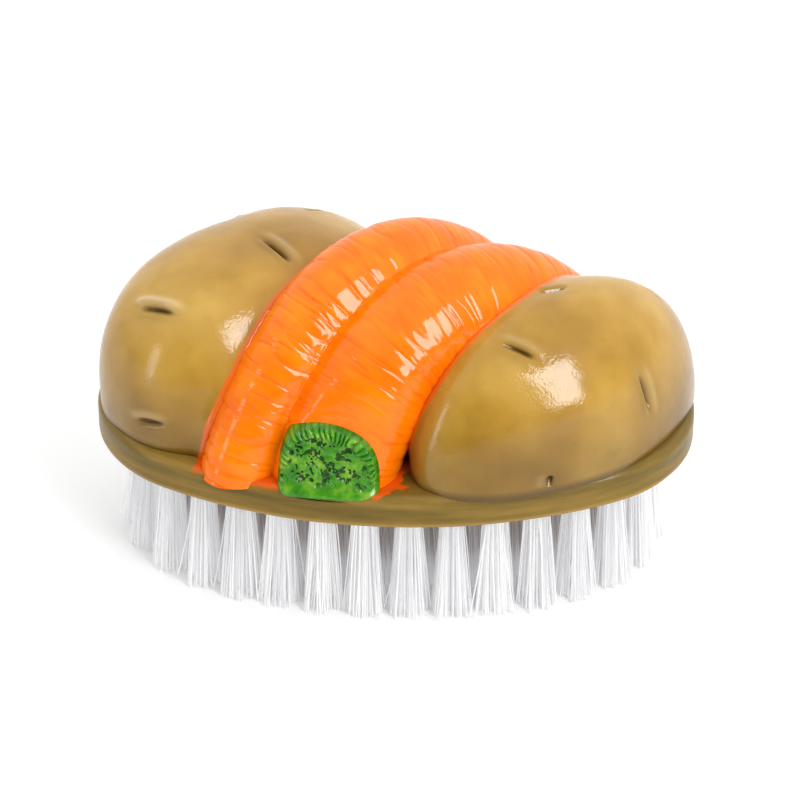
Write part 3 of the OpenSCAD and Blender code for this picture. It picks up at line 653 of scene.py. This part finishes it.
def potato_piece(name, form, origin, eyes, broad_form, plane, keep_side, seed, material):
    """A potato as rays from origin out to its skin, or to what it runs into. Its broad form
    is (x, y, z, height, reach)."""
    columns, rows = 620, 300
    azimuth = np.linspace(0, 2 * np.pi, columns, endpoint=False)
    elevation = np.radians(np.concatenate([
        np.linspace(-88, -26, 14, endpoint=False), np.linspace(-26, 89.98, rows - 14),
    ]))
    tilt, heading = np.meshgrid(elevation, azimuth, indexing="ij")
    rays = np.stack([np.cos(tilt) * np.cos(heading), np.cos(tilt) * np.sin(heading), np.sin(tilt)], -1)

    def outside(distance, ray):
        points = form.own(origin + distance[..., None] * ray)
        size = np.linalg.norm(points, axis=-1)
        return size > form.radius(points / size[..., None])

    def reach(ray, beyond, most, steps):
        """Distance along each ray to where beyond first holds, between 0 and most."""
        low, high = np.zeros(ray.shape[:-1]), np.full(ray.shape[:-1], float(most))
        for _ in range(steps):
            half = (low + high) / 2
            past = beyond(half, ray)
            high, low = np.where(past, half, high), np.where(past, low, half)
        return low

    skin = reach(rays, outside, 70, 16)
    coarse = 4

    def inside_neighbour(distance, ray):
        points = origin + distance[..., None] * ray
        nearest = np.minimum(left_carrot_form.distance(points), right_carrot_form.distance(points))
        return nearest < -CARROT_OVERLAP

    thin = rays[::coarse, ::coarse]
    march = np.full(thin.shape[:-1], 70.0)
    for step in np.arange(69.0, 0, -1.0):
        hit = inside_neighbour(np.full(thin.shape[:-1], step), thin)
        march = np.where(hit, step, march)
    limit = np.repeat(np.repeat(march, coarse, 0), coarse, 1)[:rows, :columns]
    toward = -(rays @ plane.side) * keep_side
    room = (origin - plane.middle) @ plane.side * keep_side
    side_limit = np.where(toward > 0.02, room / np.maximum(toward, 0.02), 99)
    floor_limit = np.where(
        rays[..., 2] < -0.02, (origin[2] - PLATE_TOP + PLATE_SINK) / np.maximum(-rays[..., 2], 0.02), 99)
    points = origin + skin[..., None] * rays
    own = form.own(points)
    height, dark, painted_highlight = eye_relief(form, own, eyes)
    swell = 0.16 * smooth_noise(points, 13.0, seed) + 0.06 * smooth_noise(points, 5.0, seed + 1)
    swell += 0.014 * smooth_noise(points, 1.3, seed + 2) - 0.15
    x, y, z, high, wide = broad_form
    swell += high * bump(np.linalg.norm(points - (x, y, z), axis=-1) / wide)
    gap = np.minimum(left_carrot_form.distance(points), right_carrot_form.distance(points))
    low = np.clip((50 - points[..., 2]) / 10, 0, 1)
    swell += fillet(gap, 0.5 + 1.1 * low, 0.7 + 0.9 * low)
    skin = soft_minimum(skin + height + swell, side_limit, 2.0)
    skin = np.minimum(np.minimum(skin, np.where(gap < -CARROT_OVERLAP, limit, 99)), floor_limit)
    points = origin + skin[..., None] * rays
    potato = mesh_object(name + "_body", points.reshape(-1, 3) * MM, tube_faces(rows, columns), material)
    keep_attribute(potato, "dark", dark)
    keep_attribute(potato, "painted_highlight", painted_highlight)
    keep_attribute(potato, "carrot_gap", gap)
    keep_attribute(potato, "foot", points[..., 2] - PLATE_TOP)
    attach(potato, "root")
    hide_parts(name)


potato_paint, tree, shader = new_material("potato_paint")
place = add(tree, "TexCoord").outputs["Object"]
blotch = add(tree, "TexNoise", {"Vector": place, "Scale": 42.0, "Detail": 3.0, "Roughness": 0.55})
tone = ramp(tree, blotch.outputs["Fac"], [
    (0.3, colour(148, 108, 28)), (0.5, colour(174, 132, 44)), (0.7, colour(194, 154, 68)),
])
speck = add(tree, "TexNoise", {"Vector": place, "Scale": 420.0, "Detail": 2.0})
grime = ramp(tree, speck.outputs["Fac"], [(0.25, (0.8,) * 3 + (1,)), (0.45, (1, 1, 1, 1))])
spotted = mix(tree, 0.35, tone.outputs["Color"], grime.outputs["Color"], "MULTIPLY")
# Darker towards the foot over the lowest 22 mm: painted shade on the lower sides.
low = add(tree, "MapRange", {
    "Value": attribute(tree, "foot"), "From Min": 0.0, "From Max": 22.0, "To Min": 0.56, "To Max": 1.0,
}, interpolation_type="SMOOTHSTEP")
painted_low_shade = mix(tree, 1.0, spotted, low.outputs["Result"], "MULTIPLY")
# Paler on the brows: paint rubbed off the raised brows, and a painted highlight on them.
brow = add(tree, "Math", {0: attribute(tree, "painted_highlight"), 1: 0.75}, operation="MULTIPLY")
browed = mix(tree, brow.outputs[0], painted_low_shade, colour(208, 176, 116))
# Darker in the eyes' slits and hollows: dark paint, with painted shade in these recesses.
dark_eye = mix(tree, attribute(tree, "dark"), browed, colour(62, 44, 14))
# Darker still within 1.4 mm of the plate: painted shade in the corner where the potato meets it.
foot = add(tree, "MapRange", {
    "Value": attribute(tree, "foot"), "From Min": 0.0, "From Max": 1.4, "To Min": 0.85, "To Max": 0.0,
})
shaded = mix(tree, foot.outputs["Result"], dark_eye, colour(84, 62, 22))
spill = add(tree, "Group", {
    "Place": place, "Gap": attribute(tree, "carrot_gap"), "Scale": 160.0,
    "Noise Low": 0.0, "Noise High": 1.0, "Reach Low": 0.0, "Reach High": 1.0,
    "Edge Low": -0.4, "Edge High": 0.1, "Strength": 0.85,
}, node_tree=paint_run)
painted = mix(tree, spill.outputs["Mask"], shaded, colour(228, 98, 8))
tree.links.new(painted, shader.inputs["Base Color"])
gloss = add(tree, "Group", {
    "Pattern": speck.outputs["Fac"], "Least": 0.34, "Most": 0.42,
}, node_tree=uneven_gloss)
tree.links.new(gloss.outputs["Roughness"], shader.inputs["Roughness"])
relief = add(tree, "Group", {
    "Place": place, "Scale": 1900.0, "Detail": 3.0, "Strength": 0.2, "Distance": 0.0002,
}, node_tree=fine_grain)
tree.links.new(relief.outputs["Normal"], shader.inputs["Normal"])
tree.links.new(relief.outputs["Normal"], shader.inputs["Coat Normal"])
shader.inputs["Specular IOR Level"].default_value = 0.1
shader.inputs["Coat Weight"].default_value = 0.6
shader.inputs["Coat Roughness"].default_value = 0.06

left_potato_form = Potato((-27.1, 5.3, 35.9), (34.5, 23.9, 29.1), 39.5, 0.83, 0.82)
right_potato_form = Potato((32.3, -10.2, 31.7), (34.6, 20.0, 31.2), 43, 0.93, 1.15)
# Each eye is (turn, height and slant in degrees, length and height of its brow in mm).
LEFT_EYES = [
    (-176, 39, 18, 8, 2.1), (-165, 2, 10, 6, 0.7), (-90, 79, -85, 8, 0.6), (21, 53, -102, 5, 0.6),
    (100, 35, 20, 6, 1), (60, 8, 75, 4, 0.6), (135, 14, 40, 5, 0.8), (80, 58, 60, 4, 0.6),
]
RIGHT_EYES = [
    (-161, 58, 0, 6, 0.6), (-67, 36, -87, 7, 0.5), (-134, 6, 79, 2, 0.3), (75, 84, 172, 5, 0.2),
    (0, 44, -104, 4, 0.6), (20, 20, 60, 4, 0.6), (55, 48, 20, 5, 0.8), (85, 25, 80, 5, 0.8),
]
# One broad form each, in whole millimetres: a shallow hollow at the front of the left potato,
# near the carrot, and a low swell at the middle of the right one's front.
LEFT_BROAD_FORM = (-28, -17, 57, -1, 8)
RIGHT_BROAD_FORM = (38, -26, 50, 1, 9)
potato_piece(
    "left_potato", left_potato_form, np.array([-27.1, 5.3, 40.0]), LEFT_EYES, LEFT_BROAD_FORM,
    left_carrot_form, -1, 31, potato_paint,
)
potato_piece(
    "right_potato", right_potato_form, np.array([34.0, -10.2, 40.0]), RIGHT_EYES, RIGHT_BROAD_FORM,
    right_carrot_form, 1, 37, potato_paint,
)


# Leafy crowns
# The green stub of cut leaves at a carrot's thick end, cast with it and painted bright green.
# Short ribs run over its shoulder, and its cut face is full of small dark pits.
def crown_piece(name, form, facing, seed, material):
    """A crown as rows from the middle of its face out to its edge, then back as a neck."""
    place = CrownPlace(form, facing)
    columns, face_rows, neck_rows = 460, 150, 16
    angle = np.linspace(0, 2 * np.pi, columns, endpoint=False)
    share = np.concatenate([np.linspace(0.0, 1.0, face_rows), np.ones(neck_rows)])
    back = np.concatenate([np.zeros(face_rows), np.linspace(0.1, 3.0, neck_rows)])
    share, angle = np.meshgrid(share, angle, indexing="ij")
    back = np.repeat(back[:, None], columns, 1)
    radius = crown_outline(angle) * share
    across, above = radius * np.cos(angle), radius * np.sin(angle)
    low, high = np.full(share.shape, -14.0), np.full(share.shape, 8.0)
    for _ in range(14):
        half = (low + high) / 2
        outside = form.distance(place.point(across, above, half)) > 0.45
        high, low = np.where(outside, half, high), np.where(outside, low, half)
    skin = soft_minimum(low, 0.0, 2.0)
    flat = np.stack([across, above, back], -1)
    ragged = 0.08 * smooth_noise(flat, 2.0, seed + 4)
    inner = 0.76 - 0.16 * np.cos(angle - 1.2) + ragged
    collar = np.clip((share - inner) / 0.09, 0, 1) * np.clip(1 + (above + 1) / 2, 0, 1)
    outer = np.clip((1 - share) / 0.06, 0, 1)
    rib = np.abs(np.sin(22 * angle + 2.2 * smooth_noise(flat, 2.0, seed) + 1.2 * share))
    cleft = (1 - rib) ** 1.4
    pits = smooth_noise(flat * (0.8, 1, 1), 0.8, seed + 1) + 0.7 * smooth_noise(flat, 0.4, seed + 2)
    pits = np.clip(pits - 0.14, 0, 0.55) * (1 - collar) * outer
    crumb = smooth_noise(flat, 0.6, seed + 3)
    high = CROWN_HEIGHT + above
    clear = np.clip((high - 0.4) / 1.4, 0, 1)
    relief = (0.6 - 0.7 * cleft) * collar * outer + (0.16 * crumb - 0.85 * pits) * clear
    relief += 0.7 * bump((high + 0.4) / 1.1)
    edge = 0.8 * np.clip((share - 0.93) / 0.07, 0, 1) ** 2
    points = place.point(across, above, skin + relief - edge - back)
    points[..., 2] = np.maximum(points[..., 2], PLATE_TOP - ARCH_SINK)
    faces = tube_faces(*share.shape)
    if facing < 0:
        faces = faces[:, ::-1]
    crown = mesh_object(name + "_body", points.reshape(-1, 3) * MM, faces, material)
    # Darker in the pits and in the clefts between the collar's ribs: painted shade in these hollows. It
    # is also darker at the sunken outer edge, and the face is a little darker than the collar.
    dark = np.clip(2.2 * pits, 0, 0.7) * clear + 0.45 * cleft * collar + 0.16 * (1 - collar)
    dark += 0.25 * np.clip((share - 0.92) / 0.06, 0, 1)
    keep_attribute(crown, "dark", np.clip(dark, 0, 1))
    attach(crown, "root")
    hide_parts(name)


crown_paint, tree, shader = new_material("crown_paint")
place = add(tree, "TexCoord").outputs["Object"]
blotch = add(tree, "TexNoise", {"Vector": place, "Scale": 330.0, "Detail": 3.0})
tone = ramp(tree, blotch.outputs["Fac"], [
    (0.3, colour(34, 118, 8)), (0.5, colour(72, 148, 18)), (0.7, colour(126, 178, 44)),
])
pitted = mix(tree, attribute(tree, "dark"), tone.outputs["Color"], colour(16, 50, 6))
tree.links.new(pitted, shader.inputs["Base Color"])
gloss = add(tree, "Group", {
    "Pattern": blotch.outputs["Fac"], "Least": 0.2, "Most": 0.32,
}, node_tree=uneven_gloss)
tree.links.new(gloss.outputs["Roughness"], shader.inputs["Roughness"])
relief = add(tree, "Group", {
    "Place": place, "Scale": 1500.0, "Detail": 2.0, "Strength": 0.2, "Distance": 0.0003,
}, node_tree=fine_grain)
tree.links.new(relief.outputs["Normal"], shader.inputs["Normal"])
shader.inputs["Specular IOR Level"].default_value = 0.1
shader.inputs["Coat Weight"].default_value = 0.5
shader.inputs["Coat Roughness"].default_value = 0.06

crown_piece("right_carrot_crown", right_carrot_form, -1, 61, crown_paint)
crown_piece("left_carrot_crown", left_carrot_form, 1, 67, crown_paint)


# Bristles
# Tufts of fine white nylon filaments, set in three rings and a middle row. Each tuft leaves
# its hole round and tight, and its filaments spread and cross their neighbours' at the tips.
FACE_Z = 25.4
TUFT_RADIUS, TIP_SPREAD, FILAMENT_RADIUS = 2.3, 4.1, 0.14
RING_FULLNESS = 2.1


def tuft_ring(half_length, half_width, count):
    """Tuft middles and outward directions, evenly spaced round a full oval."""
    t = np.linspace(0, 2 * np.pi, 4000)
    power = 2 / RING_FULLNESS
    x = half_length * np.sign(np.cos(t)) * np.abs(np.cos(t)) ** power
    y = half_width * np.sign(np.sin(t)) * np.abs(np.sin(t)) ** power
    run = np.concatenate([[0], np.cumsum(np.hypot(np.diff(x), np.diff(y)))])
    at = np.interp(np.arange(count) * run[-1] / count, run, t)
    x = half_length * np.sign(np.cos(at)) * np.abs(np.cos(at)) ** power
    y = half_width * np.sign(np.sin(at)) * np.abs(np.sin(at)) ** power
    out = np.stack([x / half_length**2, y / half_width**2], -1)
    out /= np.linalg.norm(out, axis=1, keepdims=True)
    return np.stack([x, y], -1), out


def tuft_row(half_length, count):
    x = np.linspace(-half_length, half_length, count)
    return np.stack([x, 0 * x], -1), np.stack([0 * x, 0 * x], -1)


def bristle_piece(name, tufts, lean, shades, seed, material):
    """All filaments of one ring, each a thin five-sided rod in six lengths. The shades are the least and
    most share of white at their roots: painted shade, where less light reaches inner rings, that lifts
    towards white at the tips."""
    middles, outs = tufts
    per_tuft, sides, levels = 110, 5, 7
    chance = np.random.default_rng(seed)
    total = len(middles) * per_tuft
    middle = np.repeat(middles, per_tuft, 0)
    out = np.repeat(outs, per_tuft, 0)
    angle, away = chance.uniform(0, 2 * np.pi, total), np.sqrt(chance.uniform(0, 1, total))
    spoke = np.stack([np.cos(angle), np.sin(angle)], -1) * away[:, None]
    wild = chance.uniform(0, 1, (total, 1)) > 0.92
    stray = chance.normal(0, 0.3, (total, 2)) + np.where(wild, chance.normal(0, 1.9, (total, 2)), 0)
    root = middle + spoke * TUFT_RADIUS
    tip = middle + spoke * TIP_SPREAD + np.clip(stray, -3.6, 3.6) + out * lean
    short = np.abs(chance.normal(0, 0.25, total)) * (1 + 2.5 * (chance.uniform(0, 1, total) > 0.93))
    curve = chance.normal(0, 0.16, (total, 2))
    level = np.linspace(0, 1, levels)
    bow = (level * (1 - level) * 4)[None, :, None]
    way = root[:, None] + (tip - root)[:, None] * (level**1.15)[None, :, None] + curve[:, None] * bow
    z = FACE_Z + 0.2 - (FACE_Z + 0.2 - np.minimum(short, 2.2)[:, None]) * level[None]
    turn = np.linspace(0, 2 * np.pi, sides, endpoint=False)
    ring = FILAMENT_RADIUS * np.stack([np.cos(turn), np.sin(turn)], -1)
    plan = way[:, :, None] + ring[None, None]
    points = np.concatenate([plan, np.broadcast_to(z[:, :, None, None], plan.shape[:3] + (1,))], -1)
    level_index, side_index = np.meshgrid(np.arange(levels - 1), np.arange(sides), indexing="ij")
    a = level_index * sides + side_index
    b = level_index * sides + (side_index + 1) % sides
    one = np.stack([a, a + sides, b + sides, b], -1).reshape(-1, 4)
    faces = (np.arange(total)[:, None, None] * levels * sides + one[None]).reshape(-1, 4)
    piece = mesh_object(name + "_filaments", points.reshape(-1, 3) * MM, faces, material)
    shade = chance.uniform(*shades, total)[:, None]
    shade = shade + np.maximum(0.75 - shade, 0) * np.clip((level - 0.6) / 0.35, 0, 1)
    keep_attribute(piece, "shade", np.repeat(shade.ravel(), sides))
    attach(piece, "root")
    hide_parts(name)


bristle_nylon, tree, shader = new_material("bristle_nylon")
# Low shade values give a dark, warm grey: painted shade among the roots of the inner rings.
tone = ramp(tree, attribute(tree, "shade"), [
    (0.0, colour(170, 152, 140)), (0.5, colour(232, 232, 234)), (1.0, colour(254, 254, 254)),
])
tree.links.new(tone.outputs["Color"], shader.inputs["Base Color"])
shader.inputs["Roughness"].default_value = 0.35
# The filaments glow a little in their own colour: painted light for the light that passes through the
# nylon.
tree.links.new(tone.outputs["Color"], shader.inputs["Emission Color"])
shader.inputs["Emission Strength"].default_value = 0.2
glow = add(tree, "BsdfTranslucent", {"Color": tone.outputs["Color"]})
both = add(tree, "MixShader", {0: 0.5, 1: shader.outputs[0], 2: glow.outputs[0]})
tree.links.new(both.outputs[0], tree.nodes["Material Output"].inputs["Surface"])

bristle_piece("outer_ring_bristles", tuft_ring(50.5, 28, 30), 1.2, (0.55, 1), 71, bristle_nylon)
bristle_piece("second_ring_bristles", tuft_ring(41.2, 18.7, 23), 0.72, (0.1, 0.4), 72, bristle_nylon)
bristle_piece("third_ring_bristles", tuft_ring(31.9, 9.4, 16), 0.43, (0, 0.3), 73, bristle_nylon)
bristle_piece("middle_row_bristles", tuft_row(22.6, 6), 0.0, (0, 0.3), 74, bristle_nylon)


# Bristle block and what it hides
# The drilled block is white moulded plastic, held in the pocket by amber glue. Each tuft's
# folded root is the same nylon as its bristles, wedged in its hole by a flat wire anchor.
def simple_material(name, low, high, scale, roughness, metallic=0.0):
    """A material whose colour drifts between two tones, with a fine grain in its relief."""
    material, tree, shader = new_material(name)
    place = add(tree, "TexCoord").outputs["Object"]
    cloud = add(tree, "TexNoise", {"Vector": place, "Scale": scale, "Detail": 3.0})
    tone = ramp(tree, cloud.outputs["Fac"], [(0.3, low), (0.7, high)])
    tree.links.new(tone.outputs["Color"], shader.inputs["Base Color"])
    relief = add(tree, "Bump", {"Height": cloud.outputs["Fac"], "Strength": 0.15, "Distance": 0.0003})
    tree.links.new(relief.outputs["Normal"], shader.inputs["Normal"])
    shader.inputs["Roughness"].default_value = roughness
    shader.inputs["Metallic"].default_value = metallic
    return material


finishes = {
    "bristle_block": simple_material(
        "block_plastic", colour(206, 204, 198), colour(226, 225, 220), 500, 0.45),
    "glue_bed": simple_material("adhesive", colour(196, 172, 110), colour(222, 200, 140), 300, 0.3),
    "tuft_roots": simple_material(
        "root_nylon", colour(214, 214, 214), colour(238, 238, 236), 900, 0.35),
    "anchors": simple_material(
        "anchor_wire", colour(150, 150, 152), colour(190, 190, 190), 1200, 0.3, 1.0),
}
for name, node in nodes.items():
    for ending, material in finishes.items():
        if name.endswith(ending):
            node.data.materials.clear()
            node.data.materials.append(material)
